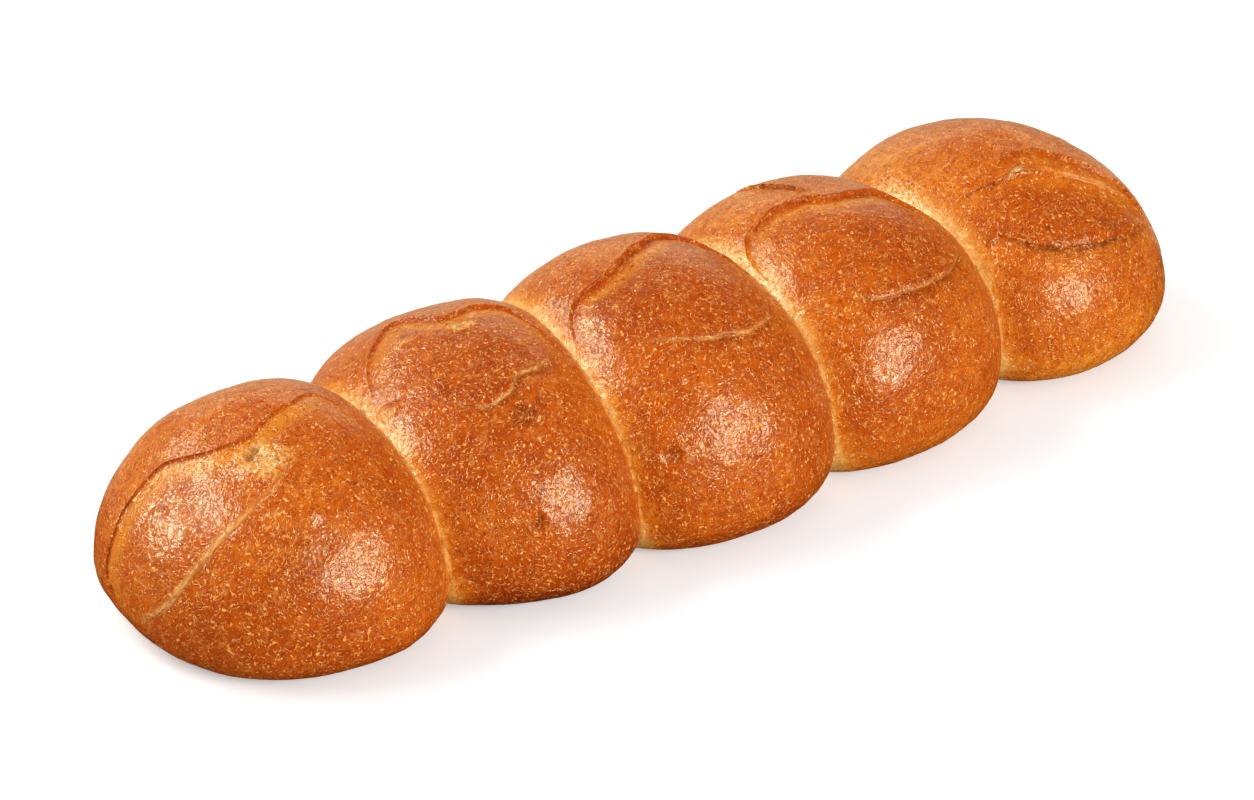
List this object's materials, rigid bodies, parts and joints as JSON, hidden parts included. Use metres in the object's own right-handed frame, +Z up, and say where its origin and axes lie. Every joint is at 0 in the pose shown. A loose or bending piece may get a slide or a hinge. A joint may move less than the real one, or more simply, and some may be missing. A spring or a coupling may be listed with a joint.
{
  "type": "row of farmhouse rolls",
  "caption": "Row of glossy farmhouse rolls baked together, each a tall rounded dome slashed once along its top, on one flat base.",
  "frame": {"origin": "middle of the flat base, on the surface that the bread lies on", "axes": "+X along the row from the end roll nearest the camera to the far one, +Y towards the back of the row, +Z up"},
  "size_m": [0.3268, 0.109, 0.0607],
  "materials": {
    "crust": "baked bread crust with a glossy wash, golden brown with paler seams"
  },
  "bodies": {
    "root": {"roll_row": "crust"}
  },
  "joints": []
}
